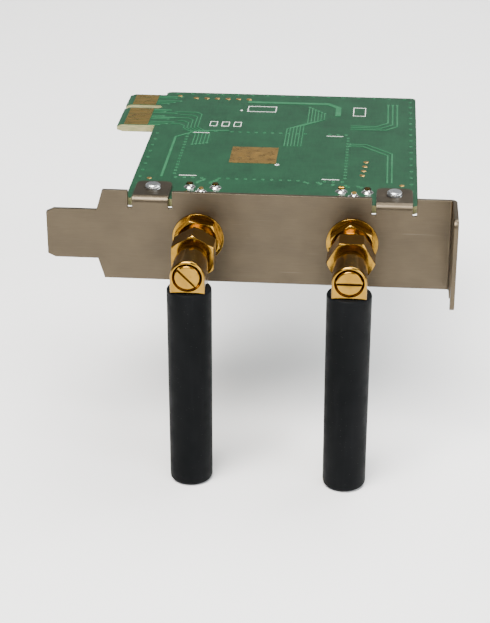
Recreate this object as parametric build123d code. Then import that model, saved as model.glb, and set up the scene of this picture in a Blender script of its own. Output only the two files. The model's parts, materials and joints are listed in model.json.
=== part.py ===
from build123d import *
import math
import os

# Low-profile Wi-Fi expansion card with two right-angle stub antennas. All sizes are millimetres.
# Frame: +X runs along the bracket towards its screw tab, +Y goes into the computer, and +Z is up
# across the bracket. The origin is on the face of the tab that sits on the computer's ledge,
# in line with the screw notch, on the bracket's centre line. The antennas hang down (-Z).

# Bracket: one sheet-metal strip with a screw tab, a tongue and two ears
SHEET = 0.86
BRACKET_LENGTH = 79.2
BRACKET_WIDTH = 18.42
BEND_RADIUS = 0.45
TAB_DEPTH = 11.43
NOTCH_WIDTH = 4.42
NOTCH_TO_FACE = 6.35
NOTCH_INSET = 4.9
TONGUE_WIDTH = 10.19
TONGUE_LENGTH = 11.4
EAR_WIDTH = 7.0
EAR_REACH = 8.0
EAR_RELIEF = 0.8
EAR_X = (-11.0, -58.0)

FACE_Y = NOTCH_TO_FACE
INNER_Y = FACE_Y + SHEET
HALF_WIDTH = BRACKET_WIDTH / 2
TIP_X = SHEET - BRACKET_LENGTH

# Circuit board, its edge connector and the two screws that hold it to the ears
BOARD_THICKNESS = 1.57
BOARD_TOP = 7.21
BOARD_BOTTOM = BOARD_TOP - BOARD_THICKNESS
BOARD_HIGH_X = -6.5
BOARD_LOW_X = -62.95
BOARD_FRONT_Y = INNER_Y + 0.6
BOARD_REAR_Y = 74.5
BOARD_CORNER = 1.2
FINGER_TONGUE = 8.25
BEVEL_RUN = 1.2
BEVEL_RISE = 0.4
KEY_Y = FACE_Y + 57.15
KEY_WIDTH = 1.9
KEY_DEPTH = 7.3
NEAR_TONGUE = 11.65
FAR_TONGUE = 7.65
NEAR_FINGERS = 11
FAR_FINGERS = 7
FINGER_PITCH = 1.0
FINGER_WIDTH = 0.7
FINGER_LENGTH = 5.2
FINGER_THICKNESS = 0.05
FINGER_INSET = 1.5
SCREW_Y = INNER_Y + 4.4
SCREW_RADIUS = 1.45
SCREW_HOLE = 1.5
BOARD_HOLE = 1.6
HEAD_RADIUS = 2.75
HEAD_HEIGHT = 1.9
EDGE_X = BOARD_LOW_X - FINGER_TONGUE

# Coaxial jacks: axis along Y on the bracket's centre line
JACK_SPACING = 29.8
RIGHT_JACK_X = -18.84
JACK_X = {"left": RIGHT_JACK_X - JACK_SPACING, "right": RIGHT_JACK_X}
THREAD_RADIUS = 3.175
THREAD_HOLE = 3.25
JACK_REACH = 7.7
RECESS_DEPTH = 1.9
RECESS_RADIUS = 2.30
CORE_RADIUS = 2.05
PIN_RADIUS = 0.46
BLOCK_SIDE = 6.4
BLOCK_DROP = 3.2
SHOULDER_RADIUS = 3.9
SHOULDER_DEPTH = 1.8
LEG_SIDE = 1.0
LEG_OFFSET = 2.54
LEG_HOLE = 0.78
LEG_TOP = BOARD_TOP + 0.9
HEX_FLATS = 8.0
BLOCK_Y = (INNER_Y + SHOULDER_DEPTH, INNER_Y + SHOULDER_DEPTH + BLOCK_SIDE)
WASHER_THICKNESS = 0.5
WASHER_RADIUS = 5.0
JACK_NUT_HEIGHT = 2.3

# Coupling nut, and the shank, seal and snap ring inside it. Distances out run from the bracket's face.
NUT_START = 5.4
NUT_END = 10.5
NUT_CLEARANCE = 0.05
NUT_SHOULDER = 9.5
SHANK_RADIUS = 2.70
SPIGOT_RADIUS = RECESS_RADIUS - 0.05
GASKET_SPAN = (7.75, 8.5)
RING_SPAN = (8.75, 9.35)
GROOVE_RADIUS = 2.30

# Elbow and antenna
ELBOW_START = 13.0
ELBOW_DEPTH = 6.4
ELBOW_HALF = 3.25
ELBOW_CORE = 1.95
CAP_RADIUS = 2.5
CAP_THICKNESS = 1.1
CAP_PROUD = 0.15
CAP_SLOT = (3.9, 0.7, 0.5)
CAP_SLOT_ANGLE = {"left": 45.0, "right": 0.0}
STUB_RADIUS = 2.2
STUB_LENGTH = 4.2
FEED_RADIUS = 1.3
SLEEVE_TOP_RADIUS = 4.22
SLEEVE_TIP_RADIUS = 4.12
SLEEVE_BORE = 2.9
SLEEVE_REACH = 43.8
SLEEVE_END_WALL = 2.0

ANTENNA_Y = FACE_Y - ELBOW_START - ELBOW_DEPTH / 2
ELBOW_FRONT_Y = FACE_Y - ELBOW_START - ELBOW_DEPTH

# Metal shield on the board's underside
SHIELD_X = (-54.0, -22.0)
SHIELD_Y = (21.0, 47.0)
SHIELD_HEIGHT = 3.2
SHIELD_SHEET = 0.25
SHIELD_GAP = 0.05
CHIP_CENTRE = (-40.0, 34.0)
CHIP_SIDE = 11.0
CHIP_HEIGHT = 1.0
VENT_RADIUS = 0.6
VENT_PITCH = 3.2
VENT_INSET = 2.6
FENCE_HEIGHT = 2.4
FRONT_END_X = (-47.5, -27.5)
FRONT_END_Y = 25.8
FRONT_END_SIZE = (4.5, 4.5, 0.9)
CRYSTAL_CENTRE = (-28.5, 39.0)
CRYSTAL_SIZE = (3.2, 2.5, 0.8)

# Components beside the shield: centre, then size along X, size along Y and height
MEMORY_CENTRE = (-49.0, 56.0)
MEMORY_SIZE = (4.9, 3.9, 1.45)
REGULATOR_CENTRE = (-15.0, 56.0)
REGULATOR_SIZE = (6.5, 3.5, 1.6)
LEAD_THICKNESS = 0.2
LEAD_KNEE = 0.55
LEAD_REACH = 1.2
LEAD_RISE = 0.85
MEMORY_LEAD_PITCH = 1.27
MEMORY_LEAD_WIDTH = 0.42
REGULATOR_LEAD_PITCH = 2.3
REGULATOR_LEAD_WIDTH = 0.7
REGULATOR_TAB_WIDTH = 3.0
INDUCTOR_X = -28.0
INDUCTOR_Y = (52.5, 59.5)
INDUCTOR_SIZE = (4.6, 4.6, 2.2)
TANTALUM_X = -15.0
TANTALUM_Y = (47.5, 65.5)
TANTALUM_SIZE = (3.5, 2.8, 1.9)
SMALL_BODY = 1.0
SMALL_END = 0.3
SMALL_DEPTH = 0.8
CAPACITOR_HEIGHT = 0.8
RESISTOR_HEIGHT = 0.45
LIGHT_CENTRE = (-10.0, 70.0)
LIGHT_SIZE = (2.0, 1.25, 0.8)


def block(x_span, y_span, z_span):
    """A block between the low and high value on each axis."""
    low = (x_span[0], y_span[0], z_span[0])
    size = (x_span[1] - x_span[0], y_span[1] - y_span[0], z_span[1] - z_span[0])
    return Pos(*low) * Box(*size, align=(Align.MIN, Align.MIN, Align.MIN))


def rod_y(radius, y_span, x=0.0, z=0.0):
    """A round rod along Y."""
    rod = Cylinder(radius, y_span[1] - y_span[0], align=(Align.CENTER, Align.CENTER, Align.MIN))
    return Pos(x, y_span[0], z) * Rot(-90, 0, 0) * rod


def rod_z(radius, z_span, x=0.0, y=0.0):
    """A round rod along Z."""
    rod = Cylinder(radius, z_span[1] - z_span[0], align=(Align.CENTER, Align.CENTER, Align.MIN))
    return Pos(x, y, z_span[0]) * rod


def tube_z(outer, inner, z_span, x=0.0, y=0.0):
    """A round tube along Z."""
    return rod_z(outer, z_span, x, y) - rod_z(inner, z_span, x, y)


def out(start, end):
    """The Y span between two distances out from the bracket's outer face."""
    return (FACE_Y - end, FACE_Y - start)


def hexagon(span, x, turn):
    """A hexagonal prism along Y with its corners chamfered. A turn of 0 puts a flat on top."""
    prism = extrude(RegularPolygon(HEX_FLATS / 2, 6, major_radius=False), span[1] - span[0])
    prism = Pos(x, span[0], 0) * Rot(0, turn, 0) * Rot(-90, 0, 0) * prism
    corner_radius = HEX_FLATS / 2 / math.cos(math.pi / 6) - 0.03
    turned = rod_y(corner_radius, span, x)
    turned = chamfer(turned.edges().filter_by(GeomType.CIRCLE), 0.3, 0.5)
    return prism & turned


def hung(x, y, size_x, size_y, height):
    """A component on the board's underside, centred at x, y."""
    z_span = (BOARD_BOTTOM - height, BOARD_BOTTOM)
    return block((x - size_x / 2, x + size_x / 2), (y - size_y / 2, y + size_y / 2), z_span)


# --- bracket -------------------------------------------------------------------------------


def strip_and_tab():
    """The strip and its tab: an L bent from one sheet."""
    outline = Polyline(
        (TIP_X, FACE_Y),
        (0, FACE_Y),
        (0, INNER_Y - TAB_DEPTH),
        (SHEET, INNER_Y - TAB_DEPTH),
        (SHEET, INNER_Y),
        (TIP_X, INNER_Y),
        close=True,
    )
    sheet = extrude(make_face(outline), HALF_WIDTH, both=True)
    uprights = sheet.edges().filter_by(Axis.Z)
    inside = uprights.sort_by_distance((0, FACE_Y, 0))[0]
    sheet = fillet(inside, BEND_RADIUS)
    outside = sheet.edges().filter_by(Axis.Z).sort_by_distance((SHEET, INNER_Y, 0))[0]
    return fillet(outside, BEND_RADIUS + SHEET)


def tongue_shoulders():
    """What is cut away beside the tongue, on both edges of the strip."""
    root_x = TIP_X + TONGUE_LENGTH
    half = TONGUE_WIDTH / 2
    cuts = []
    for side in (-1, 1):
        outline = Polyline(
            (TIP_X - 1, side * (half - 1.2)),
            (TIP_X + 1.5, side * half),
            (root_x - 1.5, side * half),
            (root_x, side * (HALF_WIDTH + 1)),
            (TIP_X - 1, side * (HALF_WIDTH + 1)),
            close=True,
        )
        corner = Plane.XZ.offset(-INNER_Y - 1) * make_face(outline)
        cuts.append(extrude(corner, SHEET + 2))
    return cuts


def screw_notch():
    """The open-sided notch that the computer's screw passes through."""
    centre_z = -HALF_WIDTH + NOTCH_INSET
    through = (-1, SHEET + 1)
    half = NOTCH_WIDTH / 2
    end = Pos(through[0], 0, centre_z) * Rot(0, 90, 0) * Cylinder(
        half, through[1] - through[0], align=(Align.CENTER, Align.CENTER, Align.MIN)
    )
    return end + block(through, (-half, half), (-HALF_WIDTH - 1, centre_z))


def ear(x):
    """One ear: a flange bent in from the strip's upper edge, tapped for a screw."""
    top = BOARD_TOP + SHEET
    foot = top - 4.5
    outline = Polyline(
        (FACE_Y, foot),
        (FACE_Y, top),
        (INNER_Y + EAR_REACH, top),
        (INNER_Y + EAR_REACH, BOARD_TOP),
        (INNER_Y, BOARD_TOP),
        (INNER_Y, foot),
        close=True,
    )
    flange = extrude(Plane.YZ.offset(x) * make_face(outline), EAR_WIDTH / 2, both=True)
    bend = flange.edges().filter_by(Axis.X)
    flange = fillet(bend.sort_by_distance((x, INNER_Y, BOARD_TOP))[0], BEND_RADIUS)
    bend = flange.edges().filter_by(Axis.X)
    flange = fillet(bend.sort_by_distance((x, FACE_Y, top))[0], BEND_RADIUS + SHEET)
    corners = flange.edges().filter_by(Axis.Z).sort_by(Axis.Y)[-2:]
    return fillet(corners, 1.5)


def bracket():
    body = strip_and_tab()
    for cut in tongue_shoulders():
        body -= cut
    tab_corners = body.edges().filter_by(Axis.X).sort_by(Axis.Y)[:2]
    body = fillet(tab_corners, 1.5)
    body -= screw_notch()
    slit = (INNER_Y - SHEET - 1, INNER_Y + 1)
    for x in EAR_X:
        reach = EAR_WIDTH / 2 + EAR_RELIEF
        body -= block((x - reach, x + reach), slit, (BOARD_TOP - 1.5, HALF_WIDTH + 1))
        body += ear(x)
        body -= rod_z(SCREW_HOLE, (BOARD_TOP - 1, BOARD_TOP + SHEET + 1), x, SCREW_Y)
    for x in JACK_X.values():
        body -= rod_y(THREAD_HOLE, slit, x)
    return body


def card_screws():
    """Pan-head screws up through the board into the ears, with a cross recess each."""
    screws = []
    for x in EAR_X:
        head_z = (BOARD_BOTTOM - HEAD_HEIGHT, BOARD_BOTTOM)
        head = rod_z(HEAD_RADIUS, head_z, x, SCREW_Y)
        rim = head.edges().filter_by(GeomType.CIRCLE).sort_by(Axis.Z)[0]
        head = fillet(rim, 1.1)
        recess = (head_z[0] - 1, head_z[0] + 1.2)
        head -= block((x - 1.5, x + 1.5), (SCREW_Y - 0.3, SCREW_Y + 0.3), recess)
        head -= block((x - 0.3, x + 0.3), (SCREW_Y - 1.5, SCREW_Y + 1.5), recess)
        shaft = rod_z(SCREW_RADIUS, (BOARD_BOTTOM, BOARD_TOP + SHEET + 0.8), x, SCREW_Y)
        screws.append(head + shaft)
    return screws


# --- circuit board -------------------------------------------------------------------------


def leg_places(x):
    """Where the four ground legs of a jack stand."""
    middle_y = sum(BLOCK_Y) / 2
    return [
        (x + i * LEG_OFFSET, middle_y + j * LEG_OFFSET) for i in (-1, 1) for j in (-1, 1)
    ]


def pin_place(x):
    """Where the centre pin of a jack passes through the board."""
    return (x, sum(BLOCK_Y) / 2)


def edge_tongue(near_y, far_y):
    """The tongue that goes into the socket, bevelled at its tip."""
    outline = Polyline(
        (EDGE_X, BOARD_BOTTOM + BEVEL_RISE),
        (EDGE_X + BEVEL_RUN, BOARD_BOTTOM),
        (BOARD_LOW_X + 1, BOARD_BOTTOM),
        (BOARD_LOW_X + 1, BOARD_TOP),
        (EDGE_X + BEVEL_RUN, BOARD_TOP),
        (EDGE_X, BOARD_TOP - BEVEL_RISE),
        close=True,
    )
    profile = Plane.XZ.offset(-near_y) * make_face(outline)
    return extrude(profile, near_y - far_y)


def board():
    near_y = KEY_Y - KEY_WIDTH / 2 - NEAR_TONGUE
    far_y = KEY_Y + KEY_WIDTH / 2 + FAR_TONGUE
    z_span = (BOARD_BOTTOM, BOARD_TOP)
    sheet = block((BOARD_LOW_X, BOARD_HIGH_X), (BOARD_FRONT_Y, BOARD_REAR_Y), z_span)
    sheet = fillet(sheet.edges().filter_by(Axis.Z), BOARD_CORNER)
    sheet += edge_tongue(near_y, far_y)
    half_key = KEY_WIDTH / 2
    key_end_x = EDGE_X + KEY_DEPTH
    sheet -= block((EDGE_X - 1, key_end_x), (KEY_Y - half_key, KEY_Y + half_key), (0, 9))
    sheet -= rod_z(half_key, (0, 9), key_end_x, KEY_Y)
    for x in EAR_X:
        sheet -= rod_z(BOARD_HOLE, (0, 9), x, SCREW_Y)
    for jack_x in JACK_X.values():
        for x, y in leg_places(jack_x) + [pin_place(jack_x)]:
            sheet -= rod_z(LEG_HOLE, (0, 9), x, y)
    return sheet


def edge_contacts():
    """Gold contact strips on both faces of the board's tongue."""
    first_near = KEY_Y - KEY_WIDTH / 2 - NEAR_TONGUE + (NEAR_TONGUE - NEAR_FINGERS + 1) / 2
    first_far = KEY_Y + KEY_WIDTH / 2 + (FAR_TONGUE - FAR_FINGERS + 1) / 2
    places = [first_near + i * FINGER_PITCH for i in range(NEAR_FINGERS)]
    places += [first_far + i * FINGER_PITCH for i in range(FAR_FINGERS)]
    x_span = (EDGE_X + FINGER_INSET, EDGE_X + FINGER_INSET + FINGER_LENGTH)
    faces = (
        (BOARD_BOTTOM - FINGER_THICKNESS, BOARD_BOTTOM),
        (BOARD_TOP, BOARD_TOP + FINGER_THICKNESS),
    )
    strips = []
    for z_span in faces:
        for y in places:
            y_span = (y - FINGER_WIDTH / 2, y + FINGER_WIDTH / 2)
            strips.append(block(x_span, y_span, z_span))
    return strips


def shield_fence():
    """The low wall soldered to the board that the lid clips over."""
    inset = SHIELD_SHEET + SHIELD_GAP
    x_span = (SHIELD_X[0] + inset, SHIELD_X[1] - inset)
    y_span = (SHIELD_Y[0] + inset, SHIELD_Y[1] - inset)
    z_span = (BOARD_BOTTOM - FENCE_HEIGHT, BOARD_BOTTOM)
    wall = SHIELD_SHEET
    inner_x = (x_span[0] + wall, x_span[1] - wall)
    inner_y = (y_span[0] + wall, y_span[1] - wall)
    return block(x_span, y_span, z_span) - block(inner_x, inner_y, z_span)


def shield_lid():
    """A thin pressed cover with two rows of vent holes."""
    bottom = BOARD_BOTTOM - SHIELD_HEIGHT
    cover = block(SHIELD_X, SHIELD_Y, (bottom, BOARD_BOTTOM - 0.3))
    cover = fillet(cover.edges().filter_by(Axis.Z), 0.8)
    inner_x = (SHIELD_X[0] + SHIELD_SHEET, SHIELD_X[1] - SHIELD_SHEET)
    inner_y = (SHIELD_Y[0] + SHIELD_SHEET, SHIELD_Y[1] - SHIELD_SHEET)
    cover -= block(inner_x, inner_y, (bottom + SHIELD_SHEET, BOARD_BOTTOM))
    middle_x = sum(SHIELD_X) / 2
    for i in range(-4, 5):
        for y in (SHIELD_Y[0] + VENT_INSET, SHIELD_Y[1] - VENT_INSET):
            vent_x = middle_x + VENT_PITCH * i
            cover -= rod_z(VENT_RADIUS, (bottom - 1, bottom + 1), vent_x, y)
    return cover


def wifi_chip():
    return chamfer(
        hung(*CHIP_CENTRE, CHIP_SIDE, CHIP_SIDE, CHIP_HEIGHT).edges().filter_by(Axis.Z), 0.25
    )


def thermal_pad():
    """Soft pad between the chip and the shield's lid."""
    top = BOARD_BOTTOM - CHIP_HEIGHT
    x, y = CHIP_CENTRE
    half = CHIP_SIDE / 2 - 0.5
    z_span = (BOARD_BOTTOM - SHIELD_HEIGHT + SHIELD_SHEET, top)
    return block((x - half, x + half), (y - half, y + half), z_span)


def front_ends():
    """One radio front-end package for each antenna."""
    return [hung(x, FRONT_END_Y, *FRONT_END_SIZE) for x in FRONT_END_X]


def crystal():
    can = hung(*CRYSTAL_CENTRE, *CRYSTAL_SIZE)
    return fillet(can.edges().filter_by(Axis.Z), 0.4)


def memory_chip():
    body = hung(*MEMORY_CENTRE, *MEMORY_SIZE)
    return chamfer(body.faces().sort_by(Axis.Z)[0].edges(), 0.2)


def regulator():
    body = hung(*REGULATOR_CENTRE, *REGULATOR_SIZE)
    return chamfer(body.faces().sort_by(Axis.Z)[0].edges(), 0.25)


def bent_lead(x, y, width, side):
    """A gull-wing lead: out of the body's side, then down to a foot on the board."""
    knee_y = y + side * LEAD_KNEE
    foot_y = y + side * LEAD_REACH
    shelf = (BOARD_BOTTOM - LEAD_RISE, BOARD_BOTTOM - LEAD_RISE + LEAD_THICKNESS)
    x_span = (x - width / 2, x + width / 2)
    arm = block(x_span, sorted((y, knee_y)), shelf)
    drop = block(
        x_span, sorted((knee_y, knee_y - side * LEAD_THICKNESS)), (shelf[0], BOARD_BOTTOM)
    )
    foot_z = (BOARD_BOTTOM - LEAD_THICKNESS, BOARD_BOTTOM)
    foot = block(x_span, sorted((knee_y - side * LEAD_THICKNESS, foot_y)), foot_z)
    return arm + drop + foot


def chip_leads():
    """The leads of the memory chip and of the regulator, which has one wide lead."""
    leads = []
    x, y = MEMORY_CENTRE
    half = MEMORY_SIZE[1] / 2
    for i in range(4):
        for side in (-1, 1):
            lead_x = x + (i - 1.5) * MEMORY_LEAD_PITCH
            leads.append(bent_lead(lead_x, y + side * half, MEMORY_LEAD_WIDTH, side))
    x, y = REGULATOR_CENTRE
    half = REGULATOR_SIZE[1] / 2
    for i in (-1, 0, 1):
        lead_x = x + i * REGULATOR_LEAD_PITCH
        leads.append(bent_lead(lead_x, y - half, REGULATOR_LEAD_WIDTH, -1))
    leads.append(bent_lead(x, y + half, REGULATOR_TAB_WIDTH, 1))
    return leads


def inductors():
    """Two square power inductors with chamfered corners."""
    coils = []
    for y in INDUCTOR_Y:
        core = hung(INDUCTOR_X, y, *INDUCTOR_SIZE)
        core = chamfer(core.edges().filter_by(Axis.Z), 0.8)
        coils.append(core)
    return coils


def tantalums():
    """Two moulded tantalum capacitors."""
    blocks = []
    for y in TANTALUM_Y:
        body = hung(TANTALUM_X, y, *TANTALUM_SIZE)
        blocks.append(chamfer(body.faces().sort_by(Axis.Z)[0].edges(), 0.25))
    return blocks


def capacitor_places():
    """Small ceramic capacitors: a row for the data lanes, and some round the supplies."""
    lanes = [(-58.5, 51.5 + 1.9 * i) for i in range(6)]
    supplies = [(-34.5, 50.5 + 2.6 * i) for i in range(5)]
    corner = [(-21.5, 50.0 + 4.0 * i) for i in range(4)]
    return lanes + supplies + corner


def resistor_places():
    row = [(-40.5, 51.0 + 1.8 * i) for i in range(5)]
    pulls = [(-55.0 + 2.6 * i, 66.0) for i in range(6)]
    return row + pulls


def small_bodies(places, height):
    return [hung(x, y, SMALL_BODY, SMALL_DEPTH, height) for x, y in places]


def small_terminals():
    """The metal ends of the ceramic capacitors and the resistors."""
    ends = []
    capacitors = [(x, y, CAPACITOR_HEIGHT) for x, y in capacitor_places()]
    resistors = [(x, y, RESISTOR_HEIGHT) for x, y in resistor_places()]
    for x, y, height in capacitors + resistors:
        for side in (-1, 1):
            end_x = x + side * (SMALL_BODY + SMALL_END) / 2
            ends.append(hung(end_x, y, SMALL_END, SMALL_DEPTH, height))
    return ends


def status_light():
    return hung(*LIGHT_CENTRE, *LIGHT_SIZE)


# --- coaxial jacks -------------------------------------------------------------------------


def jack_body(x):
    """The jack's block on four legs, with its threaded barrel through the bracket."""
    half = BLOCK_SIDE / 2
    housing = block((x - half, x + half), BLOCK_Y, (-BLOCK_DROP, BOARD_BOTTOM))
    housing = chamfer(housing.faces().sort_by(Axis.Y)[-1].edges(), 0.3)
    housing += rod_y(SHOULDER_RADIUS, (INNER_Y, BLOCK_Y[0]), x)
    barrel = rod_y(THREAD_RADIUS, (FACE_Y - JACK_REACH, INNER_Y), x)
    mouth = barrel.edges().filter_by(GeomType.CIRCLE).sort_by(Axis.Y)[0]
    barrel = chamfer(mouth, 0.3)
    body = housing + barrel
    mouth_y = FACE_Y - JACK_REACH
    body -= rod_y(RECESS_RADIUS, (mouth_y - 1, mouth_y + RECESS_DEPTH), x)
    body -= rod_y(CORE_RADIUS, (mouth_y, BLOCK_Y[1] - 1.0), x)
    pin_x, pin_y = pin_place(x)
    body -= rod_z(1.1, (0, BOARD_BOTTOM + 1), pin_x, pin_y)
    half_leg = LEG_SIDE / 2
    for leg_x, leg_y in leg_places(x):
        x_span = (leg_x - half_leg, leg_x + half_leg)
        y_span = (leg_y - half_leg, leg_y + half_leg)
        body += block(x_span, y_span, (BOARD_BOTTOM - 1, LEG_TOP))
    return body


def jack_insulator(x):
    y_span = (FACE_Y - JACK_REACH + RECESS_DEPTH, pin_place(x)[1] - 0.8)
    radius = CORE_RADIUS - 0.02
    return rod_y(radius, y_span, x) - rod_y(PIN_RADIUS + 0.02, y_span, x)


def jack_pin(x):
    """The centre contact: out along the axis, and a leg through the board."""
    pin_x, pin_y = pin_place(x)
    tip_y = FACE_Y - JACK_REACH + 0.5
    along = rod_y(PIN_RADIUS, (tip_y, pin_y + PIN_RADIUS), x)
    tip = along.edges().filter_by(GeomType.CIRCLE).sort_by(Axis.Y)[0]
    along = chamfer(tip, 0.2)
    return along + rod_z(PIN_RADIUS, (0, LEG_TOP), pin_x, pin_y)


def solder_joints():
    """The cone of solder round each leg and pin on the board's upper face."""
    cones = []
    for jack_x in JACK_X.values():
        places = [(x, y, LEG_SIDE * 0.75) for x, y in leg_places(jack_x)]
        places.append((*pin_place(jack_x), PIN_RADIUS))
        for x, y, hole in places:
            cone = Cone(1.15, 0.8, 0.7, align=(Align.CENTER, Align.CENTER, Align.MIN))
            joint = Pos(x, y, BOARD_TOP) * cone
            cones.append(joint - rod_z(hole, (BOARD_TOP - 1, LEG_TOP + 1), x, y))
    return cones


def lock_washers():
    span = out(0, WASHER_THICKNESS)
    return [
        rod_y(WASHER_RADIUS, span, x) - rod_y(THREAD_HOLE, span, x) for x in JACK_X.values()
    ]


def jack_nuts():
    span = out(WASHER_THICKNESS, WASHER_THICKNESS + JACK_NUT_HEIGHT)
    bore = THREAD_RADIUS + 0.02
    turns = {"left": 12.0, "right": 25.0}
    return [
        hexagon(span, x, turns[side]) - rod_y(bore, span, x) for side, x in JACK_X.items()
    ]


# --- antennas ------------------------------------------------------------------------------


def coupling_nut(side):
    """The long hexagonal nut: threaded at the jack, with a shoulder behind the snap ring."""
    x = JACK_X[side]
    turn = {"left": 30.0, "right": 0.0}[side]
    nut = hexagon(out(NUT_START, NUT_END), x, turn)
    nut -= rod_y(THREAD_RADIUS + NUT_CLEARANCE, out(NUT_START - 1, NUT_SHOULDER), x)
    nut -= rod_y(SHANK_RADIUS + NUT_CLEARANCE, out(NUT_SHOULDER, NUT_END + 1), x)
    return nut


def snap_ring(x):
    """The split ring that keeps the nut on the shank."""
    span = out(*RING_SPAN)
    ring = rod_y(THREAD_RADIUS - 0.02, span, x) - rod_y(GROOVE_RADIUS + 0.05, span, x)
    return ring - block((x - 0.4, x + 0.4), span, (0, 5))


def gasket(x):
    span = out(*GASKET_SPAN)
    return rod_y(THREAD_RADIUS - 0.05, span, x) - rod_y(SHANK_RADIUS + 0.05, span, x)


def elbow_body(x):
    """The gold-plated elbow: a shank into the nut, a round-topped block and a crimp stub."""
    half = ELBOW_HALF
    y_span = (ELBOW_FRONT_Y, FACE_Y - ELBOW_START)
    lower = block((x - half, x + half), y_span, (-half, 0))
    body = lower + rod_y(half, y_span, x)
    rim = body.faces().sort_by(Axis.Y)[0].outer_wire().edges()
    body = chamfer(rim, 0.25)
    mouth = JACK_REACH - RECESS_DEPTH + 0.05
    step = JACK_REACH + 0.05
    body += rod_y(SPIGOT_RADIUS, out(mouth, step), x)
    body += rod_y(SHANK_RADIUS, out(step, ELBOW_START), x)
    groove = out(RING_SPAN[0] - 0.05, RING_SPAN[1] + 0.05)
    body -= rod_y(SHANK_RADIUS + 1, groove, x) - rod_y(GROOVE_RADIUS, groove, x)
    body += rod_z(STUB_RADIUS, (-half - STUB_LENGTH, -half), x, ANTENNA_Y)
    body -= rod_y(ELBOW_CORE, (ELBOW_FRONT_Y, FACE_Y - mouth + 1), x)
    body -= rod_y(CAP_RADIUS, (ELBOW_FRONT_Y - 1, ELBOW_FRONT_Y + CAP_THICKNESS), x)
    body -= rod_z(FEED_RADIUS + 0.02, (-half - STUB_LENGTH - 1, 0), x, ANTENNA_Y)
    return body


def elbow_cap(side):
    """The round plug in the elbow's front, with a screwdriver slot."""
    x = JACK_X[side]
    front_y = ELBOW_FRONT_Y - CAP_PROUD
    disc = rod_y(CAP_RADIUS - 0.02, (front_y, ELBOW_FRONT_Y + CAP_THICKNESS), x)
    rim = disc.edges().filter_by(GeomType.CIRCLE).sort_by(Axis.Y)[0]
    disc = fillet(rim, 0.12)
    length, width, depth = CAP_SLOT
    slot = block((-length / 2, length / 2), (-1, depth), (-width / 2, width / 2))
    return disc - Pos(x, front_y, 0) * Rot(0, CAP_SLOT_ANGLE[side], 0) * slot


def elbow_insulator(x):
    y_span = (ANTENNA_Y + FEED_RADIUS + 0.3, FACE_Y - (JACK_REACH - RECESS_DEPTH + 0.1))
    return rod_y(ELBOW_CORE - 0.02, y_span, x) - rod_y(0.77, y_span, x)


def elbow_contact(x):
    """The centre socket that takes the jack's pin, ending over the antenna's wire."""
    mouth_y = FACE_Y - (JACK_REACH - RECESS_DEPTH + 0.1)
    socket = rod_y(0.75, (ANTENNA_Y - 0.6, mouth_y), x)
    return socket - rod_y(PIN_RADIUS + 0.05, (mouth_y - 2.2, mouth_y + 1), x)


def crimp_ferrule(x):
    z_top = -ELBOW_HALF - 0.3
    return tube_z(SLEEVE_BORE - 0.02, STUB_RADIUS + 0.02, (z_top - 5.2, z_top), x, ANTENNA_Y)


def feed_cable(x):
    return tube_z(FEED_RADIUS, 0.37, (-22.5, -1.9), x, ANTENNA_Y)


def radiator_tube(x):
    """The brass cup round the cable that is the lower half of the dipole."""
    cup = tube_z(2.4, 2.0, (-22.0, -9.5), x, ANTENNA_Y)
    return cup + tube_z(2.4, FEED_RADIUS + 0.02, (-22.5, -22.0), x, ANTENNA_Y)


def whip(x):
    """The wire through the cable that is the upper half of the dipole."""
    return rod_z(0.35, (-39.0, -0.75), x, ANTENNA_Y)


def sleeve(x):
    """The closed black sleeve over the antenna, very slightly tapered."""
    length = SLEEVE_REACH - ELBOW_HALF
    body = Cone(
        SLEEVE_TIP_RADIUS, SLEEVE_TOP_RADIUS, length, align=(Align.CENTER, Align.CENTER, Align.MIN)
    )
    rims = body.edges().filter_by(GeomType.CIRCLE).sort_by(Axis.Z)
    body = fillet(rims[0], 0.8)
    top = body.edges().filter_by(GeomType.CIRCLE).sort_by(Axis.Z)[-1]
    body = fillet(top, 0.35)
    body = Pos(x, ANTENNA_Y, -SLEEVE_REACH) * body
    bore = (-SLEEVE_REACH + SLEEVE_END_WALL, -ELBOW_HALF + 1)
    return body - rod_z(SLEEVE_BORE, bore, x, ANTENNA_Y)


# --- all sub-parts -------------------------------------------------------------------------


def card_parts():
    return {
        "bracket": bracket(),
        "card_screws": card_screws(),
        "board": board(),
        "edge_contacts": edge_contacts(),
        "shield_fence": shield_fence(),
        "shield_lid": shield_lid(),
        "wifi_chip": wifi_chip(),
        "thermal_pad": thermal_pad(),
        "front_end_chips": front_ends(),
        "crystal": crystal(),
        "memory_chip": memory_chip(),
        "regulator": regulator(),
        "chip_leads": chip_leads(),
        "inductors": inductors(),
        "tantalum_capacitors": tantalums(),
        "ceramic_capacitors": small_bodies(capacitor_places(), CAPACITOR_HEIGHT),
        "resistors": small_bodies(resistor_places(), RESISTOR_HEIGHT),
        "small_terminals": small_terminals(),
        "status_light": status_light(),
        "solder_joints": solder_joints(),
        "lock_washers": lock_washers(),
        "jack_nuts": jack_nuts(),
    }


def side_parts(side):
    """The jack and the antenna on one side."""
    x = JACK_X[side]
    return {
        "jack_body": jack_body(x),
        "jack_insulator": jack_insulator(x),
        "jack_pin": jack_pin(x),
        "coupling_nut": coupling_nut(side),
        "snap_ring": snap_ring(x),
        "gasket": gasket(x),
        "elbow_body": elbow_body(x),
        "elbow_cap": elbow_cap(side),
        "elbow_insulator": elbow_insulator(x),
        "elbow_contact": elbow_contact(x),
        "crimp_ferrule": crimp_ferrule(x),
        "feed_cable": feed_cable(x),
        "radiator_tube": radiator_tube(x),
        "whip": whip(x),
        "sleeve": sleeve(x),
    }


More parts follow.
